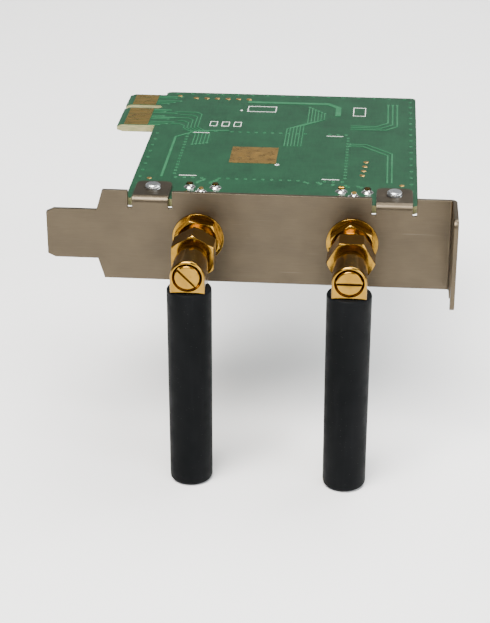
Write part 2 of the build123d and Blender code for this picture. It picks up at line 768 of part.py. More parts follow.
def main():
    os.makedirs("parts", exist_ok=True)
    parts = card_parts()
    for side in JACK_X:
        for name, shape in side_parts(side).items():
            parts[f"{name}_{side}"] = shape
    for name, shape in parts.items():
        solids = shape if isinstance(shape, list) else [shape]
        export_step(Compound(children=solids), f"parts/{name}.step")


main()
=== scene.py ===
import bmesh
import bpy
import json
import math
import random
from mathutils import Matrix, Vector


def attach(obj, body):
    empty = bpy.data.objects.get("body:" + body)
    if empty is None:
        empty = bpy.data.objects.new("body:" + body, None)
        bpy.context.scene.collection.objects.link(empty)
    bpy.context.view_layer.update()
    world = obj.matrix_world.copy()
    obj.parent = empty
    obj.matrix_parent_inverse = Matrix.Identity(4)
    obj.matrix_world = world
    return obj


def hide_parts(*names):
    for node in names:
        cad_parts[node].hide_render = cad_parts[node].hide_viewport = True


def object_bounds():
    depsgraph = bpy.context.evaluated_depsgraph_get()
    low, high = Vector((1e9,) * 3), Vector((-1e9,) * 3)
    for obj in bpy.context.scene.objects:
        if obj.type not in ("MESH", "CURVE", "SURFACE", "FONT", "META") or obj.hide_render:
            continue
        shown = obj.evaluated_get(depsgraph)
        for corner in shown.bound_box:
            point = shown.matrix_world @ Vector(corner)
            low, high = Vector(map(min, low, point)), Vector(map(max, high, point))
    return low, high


# The visual model of a two-antenna Wi-Fi expansion card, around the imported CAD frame.
# Lengths are metres in the frame, or millimetres where a name ends in _MM or goes through MM.

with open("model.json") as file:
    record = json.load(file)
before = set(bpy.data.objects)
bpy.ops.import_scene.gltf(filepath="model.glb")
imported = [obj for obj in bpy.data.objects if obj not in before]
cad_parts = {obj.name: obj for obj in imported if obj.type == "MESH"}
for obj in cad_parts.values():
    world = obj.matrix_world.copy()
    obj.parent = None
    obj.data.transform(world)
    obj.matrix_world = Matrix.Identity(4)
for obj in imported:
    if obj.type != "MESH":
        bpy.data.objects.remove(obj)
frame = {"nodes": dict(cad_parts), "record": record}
CAD_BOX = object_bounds()
NODES = frame["nodes"]
BODY_OF = {node: body for body, names in frame["record"]["behaviour"]["bodies"].items() for node in names}
MM = 0.001

# --- materials -----------------------------------------------------------------------------


class Finish:
    """One procedural material, built on a Principled shader from texture nodes in object space."""

    def __init__(self, name, rough, metal=0.0):
        self.material = bpy.data.materials.new(name)
        self.material.use_nodes = True
        self.tree = self.material.node_tree
        self.shader = self.tree.nodes["Principled BSDF"]
        self.shader.inputs["Metallic"].default_value = metal
        self.shader.inputs["Roughness"].default_value = rough
        self.place = self.node("ShaderNodeTexCoord").outputs["Object"]
        self.height = None

    def node(self, kind, inputs=(), **settings):
        """Adds a shader node, with its inputs linked to sockets or set to values."""
        made = self.tree.nodes.new(kind)
        for key, value in settings.items():
            setattr(made, key, value)
        for key, value in dict(inputs).items():
            if isinstance(value, bpy.types.NodeSocket):
                self.tree.links.new(value, made.inputs[key])
            else:
                made.inputs[key].default_value = value
        return made

    def stretched(self, scale):
        """Object coordinates times a number for each axis. A number under 1 draws the pattern out there."""
        return self.node("ShaderNodeMapping", {"Vector": self.place, "Scale": scale}).outputs["Vector"]

    def noise(self, size_mm, detail=3.0, stretch=(1, 1, 1), rough=0.55):
        """Noise with features of about that size, drawn out along the axes where stretch is under 1."""
        inputs = {"Vector": self.stretched(stretch), "Scale": 1 / (size_mm * MM), "Detail": detail,
                  "Roughness": rough}
        return self.node("ShaderNodeTexNoise", inputs).outputs["Fac"]

    def cells(self, size_mm, feature="F1", stretch=(1, 1, 1)):
        """Distance to the nearest of many scattered points about that far apart."""
        inputs = {"Vector": self.stretched(stretch), "Scale": 1 / (size_mm * MM)}
        return self.node("ShaderNodeTexVoronoi", inputs, feature=feature).outputs["Distance"]

    def span(self, value, low, high, to_low=0.0, to_high=1.0):
        """The value, taken from low..high to to_low..to_high and held there."""
        inputs = {"Value": value, "From Min": low, "From Max": high, "To Min": to_low, "To Max": to_high}
        return self.node("ShaderNodeMapRange", inputs).outputs["Result"]

    def mix(self, share, a, b, blend="MIX"):
        """Two colours mixed by a share."""
        made = self.node("ShaderNodeMix", data_type="RGBA", blend_type=blend)
        for socket, value in ((0, share), (6, a), (7, b)):
            if isinstance(value, bpy.types.NodeSocket):
                self.tree.links.new(value, made.inputs[socket])
            elif socket:
                made.inputs[socket].default_value = (*value[:3], 1)
            else:
                made.inputs[socket].default_value = value
        return made.outputs[2]

    def sums(self, operation, a, b):
        """One sum of two values, by the name of the operation."""
        made = self.node("ShaderNodeMath", operation=operation)
        for socket, value in ((0, a), (1, b)):
            if isinstance(value, bpy.types.NodeSocket):
                self.tree.links.new(value, made.inputs[socket])
            else:
                made.inputs[socket].default_value = value
        return made.outputs[0]

    def painted_crevice_shade(self, reach_mm):
        """Painted shade mask from ambient occlusion: 0 in the open and up to 1 in slots, corners and seams
        narrower than the reach.
        """
        inputs = {"Distance": reach_mm * MM}
        made = self.node("ShaderNodeAmbientOcclusion", inputs, samples=6)
        return self.span(made.outputs["AO"], 0.35, 0.85, 1.0, 0.0)

    def faces(self, axis):
        """How far the surface faces along an axis of the object, from 0 to 1."""
        normal = self.node("ShaderNodeTexCoord").outputs["Normal"]
        split = self.node("ShaderNodeSeparateXYZ", {"Vector": normal}).outputs[axis]
        return self.sums("ABSOLUTE", split, 0.0)

    def colour(self, socket):
        """Drives the base colour."""
        self.tree.links.new(socket, self.shader.inputs["Base Color"])

    def roughness(self, socket):
        """Drives the roughness."""
        self.tree.links.new(socket, self.shader.inputs["Roughness"])

    def bump(self, value, depth_mm, strength=1.0):
        """Adds relief of that depth; several calls stack."""
        inputs = {"Height": value, "Distance": depth_mm * MM, "Strength": strength}
        if self.height:
            inputs["Normal"] = self.height
        self.height = self.node("ShaderNodeBump", inputs).outputs["Normal"]
        self.tree.links.new(self.height, self.shader.inputs["Normal"])


def metal_finish(name, light, dark, rough, grain=(1, 1, 1), grain_mm=0.12, grain_depth=0.004, blotch_mm=4.0):
    """Plated or bare metal: cloudy colour, fine directional grain and patches of duller surface."""
    made = Finish(name, rough, metal=1.0)
    cloud = made.noise(blotch_mm, 4.0)
    fine = made.noise(grain_mm, 2.0, grain)
    made.colour(made.mix(made.span(cloud, 0.35, 0.68), light, dark))
    patches = made.span(cloud, 0.3, 0.7, rough * 0.8, rough * 1.25)
    made.roughness(made.sums("ADD", patches, made.span(fine, 0.3, 0.7, -0.04, 0.05)))
    made.bump(fine, grain_depth)
    return made


def moulded_finish(name, light, dark, rough, grain_mm=0.15, grain_depth=0.006, speck=None):
    """Moulded plastic, resin or ceramic: faint mottling, a fine surface grain and a few specks."""
    made = Finish(name, rough)
    cloud = made.noise(1.8, 4.0)
    fine = made.noise(grain_mm, 2.0)
    tone = made.mix(made.span(cloud, 0.35, 0.65), light, dark)
    if speck:
        dots = made.span(made.cells(0.9), 0.06, 0.1, 1.0, 0.0)
        tone = made.mix(dots, tone, speck)
    made.colour(tone)
    made.roughness(made.span(fine, 0.3, 0.7, rough - 0.06, rough + 0.08))
    made.bump(fine, grain_depth)
    return made


def bracket_finish():
    """Warm satin plate with the fine long grain of rolled sheet and a few handling marks."""
    made = Finish("bracket_plate_satin", 0.4, metal=1.0)
    cloud = made.noise(9.0, 5.0, (1, 1, 1.6))
    grain = made.noise(0.16, 3.0, (0.05, 1, 1))
    smudge = made.noise(3.2, 3.0, (1, 1, 1), 0.65)
    tone = made.mix(made.span(cloud, 0.34, 0.66), (0.088, 0.070, 0.047), (0.073, 0.059, 0.041))
    tone = made.mix(made.span(grain, 0.35, 0.7, 0.0, 0.24), tone, (0.118, 0.094, 0.065))
    scratch = made.noise(0.5, 1.0, (0.035, 1, 1.3))
    marks = made.span(scratch, 0.72, 0.77)
    tone = made.mix(made.sums("MULTIPLY", marks, 0.3), tone, (0.17, 0.14, 0.105))
    made.colour(tone)
    dull = made.span(smudge, 0.35, 0.7, 0.37, 0.44)
    made.roughness(made.sums("ADD", dull, made.span(grain, 0.3, 0.7, -0.03, 0.03)))
    made.bump(grain, 0.0035)
    made.bump(made.noise(6.0, 2.0), 0.02, 0.5)
    return made


def gold_finish(name, rough, turned_mm=0.0):
    """Gold plate over turned brass: fine tool lines, a little rubbed colour, and painted dark brown shade in
    the low spots.
    """
    made = Finish(name, rough, metal=1.0)
    cloud = made.noise(2.2, 4.0)
    tone = made.mix(made.span(cloud, 0.32, 0.68), (0.315, 0.180, 0.028), (0.250, 0.136, 0.019))
    stain = made.span(made.noise(1.1, 5.0, rough=0.7), 0.58, 0.75, 0.0, 0.5)
    tone = made.mix(stain, tone, (0.175, 0.080, 0.011))
    # painted shade: slots, corners and seams narrower than 0.3 mm are darkened to dark brown by the ambient
    # occlusion mask
    made.colour(made.mix(made.painted_crevice_shade(0.3), tone, (0.070, 0.030, 0.006)))
    made.roughness(made.span(cloud, 0.3, 0.7, rough * 0.75, rough * 1.4))
    lines = made.noise(0.07, 2.0, (0.25, 1.0, 0.25)) if turned_mm else made.noise(0.1, 2.0)
    made.bump(lines, turned_mm or 0.0025)
    made.bump(made.noise(0.9, 3.0), 0.01, 0.6)
    return made


def sleeve_finish():
    """Black moulded sleeve: fine spark texture, faint flow lines along it and a little dust."""
    made = Finish("sleeve_black_moulding", 0.5)
    cloud = made.noise(6.0, 4.0, (1, 1, 0.3))
    flow = made.noise(0.9, 3.0, (1, 1, 0.06))
    tone = made.mix(made.span(cloud, 0.35, 0.65), (0.0016, 0.0021, 0.0024), (0.0032, 0.0037, 0.0042))
    tone = made.mix(made.span(flow, 0.55, 0.75, 0.0, 0.4), tone, (0.0055, 0.0062, 0.0067))
    dust = made.span(made.cells(0.8), 0.05, 0.085, 0.4, 0.0)
    made.colour(made.mix(dust, tone, (0.06, 0.057, 0.053)))
    grain = made.cells(0.13, "SMOOTH_F1")
    made.roughness(made.span(made.noise(2.5, 3.0), 0.3, 0.7, 0.5, 0.66))
    made.shader.inputs["Specular IOR Level"].default_value = 0.05
    made.bump(grain, 0.012)
    made.bump(flow, 0.01, 0.5)
    return made


def board_finish():
    """Green solder mask, faintly lighter along the glass weave under it, and the bare laminate's layers at
    the edges.
    """
    made = Finish("board_solder_mask", 0.3)
    weave_x = made.noise(0.35, 1.0, (0.12, 1, 1))
    weave_y = made.noise(0.35, 1.0, (1, 0.12, 1))
    weave = made.sums("ADD", weave_x, weave_y)
    cloud = made.noise(7.0, 4.0)
    mask = made.mix(made.span(cloud, 0.35, 0.65), (0.0025, 0.024, 0.0095), (0.004, 0.034, 0.0135))
    mask = made.mix(made.span(weave, 0.85, 1.2, 0.0, 0.4), mask, (0.007, 0.048, 0.020))
    layers = made.noise(0.16, 2.0, (0.06, 0.06, 1))
    edge = made.mix(made.span(layers, 0.35, 0.65), (0.30, 0.27, 0.13), (0.16, 0.17, 0.07))
    flat = made.span(made.faces("Z"), 0.55, 0.7)
    made.colour(made.mix(flat, edge, mask))
    made.roughness(made.span(flat, 0.0, 1.0, 0.75, 0.34))
    made.shader.inputs["Specular IOR Level"].default_value = 0.35
    made.bump(weave, 0.006, 0.7)
    made.bump(made.noise(0.25, 2.0), 0.003)
    return made


def track_finish():
    """Copper tracks seen through the mask: the same green, a little lighter and smoother."""
    made = Finish("board_mask_over_copper", 0.28)
    cloud = made.noise(3.0, 3.0)
    made.colour(made.mix(made.span(cloud, 0.35, 0.65), (0.010, 0.080, 0.032), (0.015, 0.100, 0.041)))
    made.roughness(made.span(cloud, 0.3, 0.7, 0.28, 0.42))
    made.shader.inputs["Specular IOR Level"].default_value = 0.35
    made.bump(made.noise(0.2, 2.0), 0.003)
    return made


def resistor_finish():
    """White ceramic sides and a black glassy top."""
    made = Finish("resistor_ceramic_two_tone", 0.35)
    fine = made.noise(0.12, 3.0)
    white = made.mix(made.span(fine, 0.35, 0.65), (0.62, 0.62, 0.58), (0.50, 0.51, 0.48))
    black = made.mix(made.span(fine, 0.35, 0.65), (0.012, 0.013, 0.015), (0.025, 0.026, 0.03))
    made.colour(made.mix(made.span(made.faces("Z"), 0.6, 0.75), white, black))
    made.roughness(made.span(fine, 0.3, 0.7, 0.25, 0.5))
    made.bump(fine, 0.004)
    return made


def soft_finish(name, light, dark, rough, glow):
    """A milky plastic that light sinks a little way into."""
    made = moulded_finish(name, light, dark, rough, 0.2, 0.003)
    made.shader.inputs["Subsurface Weight"].default_value = glow
    made.shader.inputs["Subsurface Scale"].default_value = 0.4 * MM
    return made


ACROSS_Y = (1, 0.06, 1)
FINISHES = {
    "bracket_plate": bracket_finish(),
    "screw_steel": metal_finish("screw_steel_zinc", (0.58, 0.60, 0.62), (0.47, 0.48, 0.47), 0.3),
    "board_laminate": board_finish(),
    "contact_gold": metal_finish("contact_gold_rubbed", (0.62, 0.38, 0.10), (0.50, 0.29, 0.07), 0.3,
                                 (0.12, 1, 1), 0.3, 0.0006, 1.6),
    "shield_tin": metal_finish("shield_tin_sheet", (0.50, 0.495, 0.47), (0.39, 0.39, 0.375), 0.33,
                               (0.06, 1, 1), 0.14, 0.003, 5.0),
    "chip_plastic": moulded_finish("chip_plastic_epoxy", (0.022, 0.022, 0.024), (0.034, 0.034, 0.035),
                                   0.5, 0.09, 0.006, (0.07, 0.07, 0.07)),
    "pad_silicone": moulded_finish("pad_silicone_soft", (0.30, 0.36, 0.42), (0.24, 0.30, 0.36), 0.8),
    "crystal_can": metal_finish("crystal_can_nickel", (0.72, 0.70, 0.64), (0.60, 0.58, 0.53), 0.25,
                                ACROSS_Y, 0.08, 0.002, 1.2),
    "lead_tin": metal_finish("lead_tin_matte", (0.68, 0.68, 0.67), (0.52, 0.52, 0.52), 0.38),
    "ferrite": moulded_finish("ferrite_grey", (0.055, 0.055, 0.058), (0.085, 0.085, 0.086), 0.7, 0.12,
                              0.012, (0.15, 0.15, 0.15)),
    "tantalum_resin": moulded_finish("tantalum_resin_ochre", (0.58, 0.36, 0.07), (0.50, 0.29, 0.05), 0.45,
                                     0.12, 0.006, (0.3, 0.2, 0.08)),
    "capacitor_ceramic": moulded_finish("capacitor_ceramic_tan", (0.36, 0.25, 0.15), (0.27, 0.18, 0.10),
                                        0.45),
    "resistor_ceramic": resistor_finish(),
    "light_resin": soft_finish("light_resin_milky", (0.72, 0.74, 0.55), (0.60, 0.66, 0.46), 0.25, 0.5),
    "solder": metal_finish("solder_bright", (0.74, 0.73, 0.70), (0.55, 0.55, 0.54), 0.2, (1, 1, 1), 0.2,
                           0.008, 0.7),
    "plated_gold": gold_finish("plated_gold_turned", 0.17, 0.004),
    "ptfe": soft_finish("ptfe_white", (0.80, 0.80, 0.77), (0.70, 0.70, 0.67), 0.4, 0.6),
    "ring_bronze": metal_finish("ring_bronze_spring", (0.60, 0.34, 0.15), (0.42, 0.22, 0.10), 0.3),
    "seal_silicone": moulded_finish("seal_silicone_rubber", (0.46, 0.10, 0.05), (0.36, 0.07, 0.04), 0.7),
    "ferrule_metal": metal_finish("ferrule_metal_nickel", (0.62, 0.60, 0.55), (0.48, 0.46, 0.42), 0.3),
    "cable_dielectric": soft_finish("cable_dielectric_white", (0.78, 0.78, 0.74), (0.68, 0.67, 0.62),
                                    0.45, 0.5),
    "radiator_brass": metal_finish("radiator_brass_tube", (0.70, 0.50, 0.20), (0.56, 0.38, 0.14), 0.3),
    "wire_copper": metal_finish("wire_copper_tinned", (0.78, 0.40, 0.22), (0.60, 0.28, 0.14), 0.3),
    "sleeve_black": sleeve_finish(),
}
TRACK_FINISH = track_finish()
INK_FINISH = moulded_finish("board_white_ink", (0.62, 0.63, 0.60), (0.50, 0.51, 0.48), 0.6, 0.1, 0.006)
BAND_FINISH = moulded_finish("tantalum_dark_band", (0.20, 0.075, 0.02), (0.14, 0.05, 0.015), 0.5, 0.1, 0.005)
SLOT_OF = {part["node"]: part["material_slot"] for part in frame["record"]["subparts"]}


def wear(obj, slot_name):
    """Gives a piece the finish of one of the record's slots."""
    obj.data.materials.clear()
    obj.data.materials.append(FINISHES[slot_name].material)


for node_name, node_object in NODES.items():
    wear(node_object, SLOT_OF[node_name])

# --- the CAD's dimensions that the pieces repeat, in millimetres ---------------------------

BOARD_TOP = 7.21
BOARD_BOTTOM = 5.64
JACK_X = {"left": -48.64, "right": -18.84}
ANTENNA_Y = -9.85
ELBOW_FRONT_Y = -13.05
EAR_X = (-11.0, -58.0)
SCREW_Y = 11.61
PIN_Y = 12.21
LEG_OFFSET = 2.54
FEED_X = {"left": -47.5, "right": -27.5}
SHIELD_LOW, SHIELD_HIGH = (-54.0, 21.0), (-22.0, 47.0)
SHIELD_HEIGHT = 3.2
CHIP_CENTRE = (-40.0, 34.0)
INDUCTOR_X = -28.0
INDUCTOR_Y = (52.5, 59.5)
INDUCTOR_HEIGHT = 2.2
TANTALUM_X = -15.0
TANTALUM_Y = (47.5, 65.5)
MEMORY_CENTRE = (-49.0, 56.0)
MEMORY_LEAD_PITCH = 1.27
REGULATOR_X = -15.0
REGULATOR_LEAD_PITCH = 2.3
LIGHT_CENTRE = (-10.0, 70.0)

# the centres of the small capacitors and resistors
SMALL_PLACES = [(-58.5, 51.5 + 1.9 * i) for i in range(6)] + [(-34.5, 50.5 + 2.6 * i) for i in range(5)]
SMALL_PLACES += [(-21.5, 50.0 + 4.0 * i) for i in range(4)] + [(-40.5, 51.0 + 1.8 * i) for i in range(5)]
SMALL_PLACES += [(-55.0 + 2.6 * i, 66.0) for i in range(6)]

# --- mesh helpers --------------------------------------------------------------------------

SHARP_ANGLE = 38
FLAT_ANGLE = 0.4
JOIN_DISTANCE = 1e-7


def new_piece(name, shape, body, slot_name, stands_for=()):
    """Turns a bmesh in metres into a smooth-shaded piece that rides on a body."""
    mesh = bpy.data.meshes.new(name)
    shape.to_mesh(mesh)
    shape.free()
    return place_mesh(name, mesh, body, slot_name, stands_for)


def place_mesh(name, mesh, body, slot_name, stands_for=()):
    """Shades a mesh smooth between its sharp edges and puts it on a body."""
    mesh.polygons.foreach_set("use_smooth", [True] * len(mesh.polygons))
    mesh.set_sharp_from_angle(angle=math.radians(SHARP_ANGLE))
    obj = bpy.data.objects.new(name, mesh)
    bpy.context.scene.collection.objects.link(obj)
    even = obj.modifiers.new("even_normals", "WEIGHTED_NORMAL")
    even.keep_sharp = True
    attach(obj, body)
    wear(obj, slot_name)
    if stands_for:
        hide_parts(*stands_for)
    return obj


def cad_shape(node):
    """The CAD node's shape with its split corners joined and its flat faces whole."""
    shape = bmesh.new()
    shape.from_mesh(NODES[node].data)
    bmesh.ops.remove_doubles(shape, verts=shape.verts, dist=JOIN_DISTANCE)
    bmesh.ops.dissolve_limit(shape, angle_limit=math.radians(FLAT_ANGLE), verts=shape.verts,
                             edges=shape.edges, delimit=set())
    bmesh.ops.recalc_face_normals(shape, faces=shape.faces)
    return shape


def soften(shape, radius_mm, segments=2, angle=35.0, only=None):
    """Rounds the edges that turn by more than the angle."""
    edges = [e for e in shape.edges if len(e.link_faces) == 2
             and abs(e.calc_face_angle(0.0)) > math.radians(angle) and (only is None or only(e))]
    bmesh.ops.bevel(shape, geom=edges, offset=radius_mm * MM, segments=segments, profile=0.5,
                    affect="EDGES", clamp_overlap=True)
    return shape


def combined(shape, tool, operation):
    """The exact boolean of two closed shapes, as a new bmesh. Both inputs are used up."""
    meshes = []
    for part in (shape, tool):
        bmesh.ops.recalc_face_normals(part, faces=part.faces)
        mesh = bpy.data.meshes.new("operand")
        part.to_mesh(mesh)
        part.free()
        meshes.append(mesh)
    pair = [bpy.data.objects.new("operand", mesh) for mesh in meshes]
    for obj in pair:
        bpy.context.scene.collection.objects.link(obj)
    change = pair[0].modifiers.new("change", "BOOLEAN")
    change.object = pair[1]
    change.operation = operation
    change.solver = "EXACT"
    graph = bpy.context.evaluated_depsgraph_get()
    result = bmesh.new()
    result.from_mesh(pair[0].evaluated_get(graph).to_mesh())
    for obj, mesh in zip(pair, meshes):
        bpy.data.objects.remove(obj)
        bpy.data.meshes.remove(mesh)
    return result


def lathe(profile, centre, axis="Z", segments=96, swell=None):
    """Revolves a closed profile of (radius, position along the axis) about an axis through a point, in mm.
    swell, if given, adds a height to the radius for an angle."""
    shape = bmesh.new()
    rings = []
    for i in range(segments):
        turn = 2 * math.pi * i / segments
        ring = []
        for radius, along in profile:
            reach = radius + (swell(turn, radius, along) if swell else 0.0)
            across = (reach * math.cos(turn), reach * math.sin(turn))
            offset = (across[0], along, across[1]) if axis == "Y" else (across[0], across[1], along)
            ring.append(shape.verts.new((Vector(centre) + Vector(offset)) * MM))
        rings.append(ring)
    for i in range(segments):
        a, b = rings[i], rings[(i + 1) % segments]
        for j in range(len(profile)):
            k = (j + 1) % len(profile)
            shape.faces.new((a[j], b[j], b[k], a[k]))
    bmesh.ops.remove_doubles(shape, verts=shape.verts, dist=1e-9)
    bmesh.ops.recalc_face_normals(shape, faces=shape.faces)
    return shape


def helix(centre, axis, span, pitch, open_radius, root_radius, per_turn=40, fade=0.0):
    """A V-shaped ridge wound along an axis: subtracting it cuts a screw thread."""
    shape = bmesh.new()
    length = span[1] - span[0]
    steps = int(length / pitch * per_turn)
    half = pitch * 0.46
    shallowest = 0.12
    rings = []
    for i in range(steps + 1):
        turn = 2 * math.pi * i / per_turn
        along = span[0] + pitch * i / per_turn
        left = (span[1] - along) / pitch
        depth = max(min(1.0, left / fade) if fade else 1.0, shallowest)
        root = open_radius + (root_radius - open_radius) * depth
        ring = []
        for radius, shift in ((open_radius, -half * depth), (root, 0.0), (open_radius, half * depth)):
            across = (radius * math.cos(turn), radius * math.sin(turn))
            offset = (across[0], along + shift, across[1]) if axis == "Y" else (*across, along + shift)
            ring.append(shape.verts.new((Vector(centre) + Vector(offset)) * MM))
        rings.append(ring)
    for a, b in zip(rings, rings[1:]):
        for j in range(3):
            k = (j + 1) % 3
            shape.faces.new((a[j], b[j], b[k], a[k]))
    shape.faces.new(rings[0])
    shape.faces.new(rings[-1])
    return shape


def box_shape(low, high):
    """A block between two corners, in mm."""
    shape = bmesh.new()
    bmesh.ops.create_cube(shape, size=1.0)
    for v in shape.verts:
        v.co = Vector([(a + (b - a) * (c + 0.5)) * MM for a, b, c in zip(low, high, v.co)])
    return shape


def join(shapes):
    """Several shapes in one bmesh."""
    whole = bmesh.new()
    for part in shapes:
        mesh = bpy.data.meshes.new("part")
        part.to_mesh(mesh)
        part.free()
        whole.from_mesh(mesh)
        bpy.data.meshes.remove(mesh)
    return whole


def arc(centre, radius, start, end, steps=6):
    """Points of an arc in the profile plane, in degrees."""
    return [(centre[0] + radius * math.cos(math.radians(start + (end - start) * i / steps)),
             centre[1] + radius * math.sin(math.radians(start + (end - start) * i / steps)))
            for i in range(steps + 1)]


# --- metal parts ---------------------------------------------------------------------------

SMA_PITCH = 0.7056
THREAD_RADIUS = 3.175
THREAD_DEPTH = 0.36
CAP_PROUD = 0.15
CAP_SLOT_ANGLE = {"left": 45.0, "right": 0.0}


def jack_body(side):
    """The jack with its screw thread cut into the barrel."""
    node = f"jack_body_{side}"
    thread_span = (-1.9, 6.1)
    opening = 0.12
    groove = helix((JACK_X[side], 0, 0), "Y", thread_span, SMA_PITCH, THREAD_RADIUS + opening,
                   THREAD_RADIUS - THREAD_DEPTH, fade=0.8)
    shape = combined(cad_shape(node), groove, "DIFFERENCE")
    new_piece(f"jack_thread_{side}", shape, BODY_OF[node], "plated_gold", (node,))


def coupling_nut(side):
    """The hexagonal nut with its own thread and softened corners."""
    node = f"coupling_nut_{side}"
    thread_span = (-1.3, 1.4)
    opening = 0.05
    shape = soften(cad_shape(node), 0.16)
    groove = helix((JACK_X[side], 0, 0), "Y", thread_span, SMA_PITCH, THREAD_RADIUS - opening,
                   THREAD_RADIUS + THREAD_DEPTH)
    shape = combined(shape, groove, "DIFFERENCE")
    new_piece(f"hex_nut_{side}", shape, BODY_OF[node], "plated_gold", (node,))


def elbow_cap(side):
    """The round plug: a domed rim, a turned step and a screwdriver slot."""
    node = f"elbow_cap_{side}"
    front = ELBOW_FRONT_Y - CAP_PROUD
    flat_radius, dome_centre, dome = 1.95, 2.05, 0.32
    step_radius, step_y = 2.42, -12.6
    back_radius, back_y = 2.46, -11.96
    profile = [(0, front), (flat_radius, front), *arc((dome_centre, front + dome), dome, -90, -10, 5),
               (step_radius, step_y), (back_radius, back_y), (0, back_y)]
    shape = lathe(profile, (JACK_X[side], 0, 0), "Y", 72)
    slot_reach, slot_depth, slot_half = 2.6, 0.52, 0.36
    slot = box_shape((-slot_reach, -1.0, -slot_half), (slot_reach, slot_depth, slot_half))
    turn = Matrix.Rotation(math.radians(CAP_SLOT_ANGLE[side]), 4, "Y")
    place = Matrix.Translation(Vector((JACK_X[side], front, 0)) * MM)
    bmesh.ops.transform(slot, matrix=place @ turn, verts=slot.verts)
    shape = combined(shape, slot, "DIFFERENCE")
    new_piece(f"slotted_cap_{side}", soften(shape, 0.035, 2, 60), BODY_OF[node], "plated_gold", (node,))


def elbow_body(side):
    """The elbow with softened edges and a small countersink round its cap."""
    node = f"elbow_body_{side}"
    axis_x = JACK_X[side] * MM
    seat_radius = 2.6
    mouth_radius, throat_radius = 2.98, 2.74
    mouth_y, throat_y, floor_y = -13.3, -12.95, -12.7

    def outside_seat(edge):
        middle = (edge.verts[0].co + edge.verts[1].co) / 2
        return math.hypot(middle.x - axis_x, middle.z) > seat_radius * MM

    shape = soften(cad_shape(node), 0.1, only=outside_seat)
    profile = [(0, mouth_y), (mouth_radius, mouth_y), (throat_radius, throat_y), (throat_radius, floor_y),
               (0, floor_y)]
    sink = lathe(profile, (JACK_X[side], 0, 0), "Y", 96)
    shape = combined(shape, sink, "DIFFERENCE")
    new_piece(f"elbow_block_{side}", shape, BODY_OF[node], "plated_gold", (node,))


def softened(node, radius_mm, segments=2):
    """A CAD node's own shape with its edges rounded."""
    shape = soften(cad_shape(node), radius_mm, segments)
    new_piece(f"{node}_finished", shape, BODY_OF[node], SLOT_OF[node], (node,))


def recess_blade(x, y, z, degrees):
    """One blade of a cross recess, tapered as it goes in, to be cut into a screw's head."""
    reach, half, outside, depth = 1.55, 0.3, -0.5, 1.25
    taper_long, taper_wide = 0.45, 0.7
    blade = box_shape((-reach, -half, outside), (reach, half, depth))
    for v in blade.verts:
        if v.co.z > 0:
            v.co.x *= taper_long
            v.co.y *= taper_wide
    turn = Matrix.Rotation(math.radians(degrees), 4, "Z")
    place = Matrix.Translation(Vector((x, y, z)) * MM)
    bmesh.ops.transform(blade, matrix=place @ turn, verts=blade.verts)
    return blade


def card_screws():
    """Pan-head screws with a tapered cross recess and a cut thread."""
    head_height, flat_radius, head_radius, crown = 1.9, 1.3, 2.72, 1.2
    shank, shank_end = 1.45, 8.62
    tip, tip_end = 1.2, 8.87
    thread_span, pitch, open_radius, root_radius = (6.2, 9.1), 0.5, 1.55, 1.2
    low = BOARD_BOTTOM - head_height
    profile = [(0, low), (flat_radius, low), *arc((1.55, low + crown), crown, -90, -5, 8),
               (head_radius, BOARD_BOTTOM), (shank, BOARD_BOTTOM), (shank, shank_end), (tip, tip_end),
               (0, tip_end)]
    screws = []
    for x, first_blade in zip(EAR_X, (18, 73)):
        shape = lathe(profile, (x, SCREW_Y, 0), "Z", 64)
        for quarter in (0, 90):
            shape = combined(shape, recess_blade(x, SCREW_Y, low, first_blade + quarter), "DIFFERENCE")
        groove = helix((x, SCREW_Y, 0), "Z", thread_span, pitch, open_radius, root_radius)
        screws.append(combined(shape, groove, "DIFFERENCE"))
    new_piece("cross_head_screws", join(screws), "card", "screw_steel", ("card_screws",))


def solder_joints():
    """Wetted cones of solder, hollow-sided, round each leg and pin."""
    random.seed(7)
    leg_hole, pin_hole = 0.72, 0.46
    lap, hollow, steps = 0.02, 1.9, 9
    joints = []
    for jack_x in JACK_X.values():
        places = [(jack_x + i * LEG_OFFSET, PIN_Y + j * LEG_OFFSET, leg_hole)
                  for i in (-1, 1) for j in (-1, 1)]
        places.append((jack_x, PIN_Y, pin_hole))
        for x, y, hole in places:
            rise = 0.66 + 0.12 * random.random()
            foot = 1.13 + 0.05 * random.random()
            side = [(hole + (foot - hole) * (1 - t) ** hollow + lap, BOARD_TOP + rise * t)
                    for t in [k / steps for k in range(steps + 1)]]
            profile = [(hole, BOARD_TOP), (foot + lap, BOARD_TOP), *side[1:], (hole, BOARD_TOP + rise)]
            joints.append(lathe(profile, (x, y, 0), "Z", 40))
    new_piece("solder_fillets", join(joints), "card", "solder", ("solder_joints",))


# --- antenna sleeve ------------------------------------------------------------------------

SLEEVE_TOP = -3.25
SLEEVE_TIP = -43.8


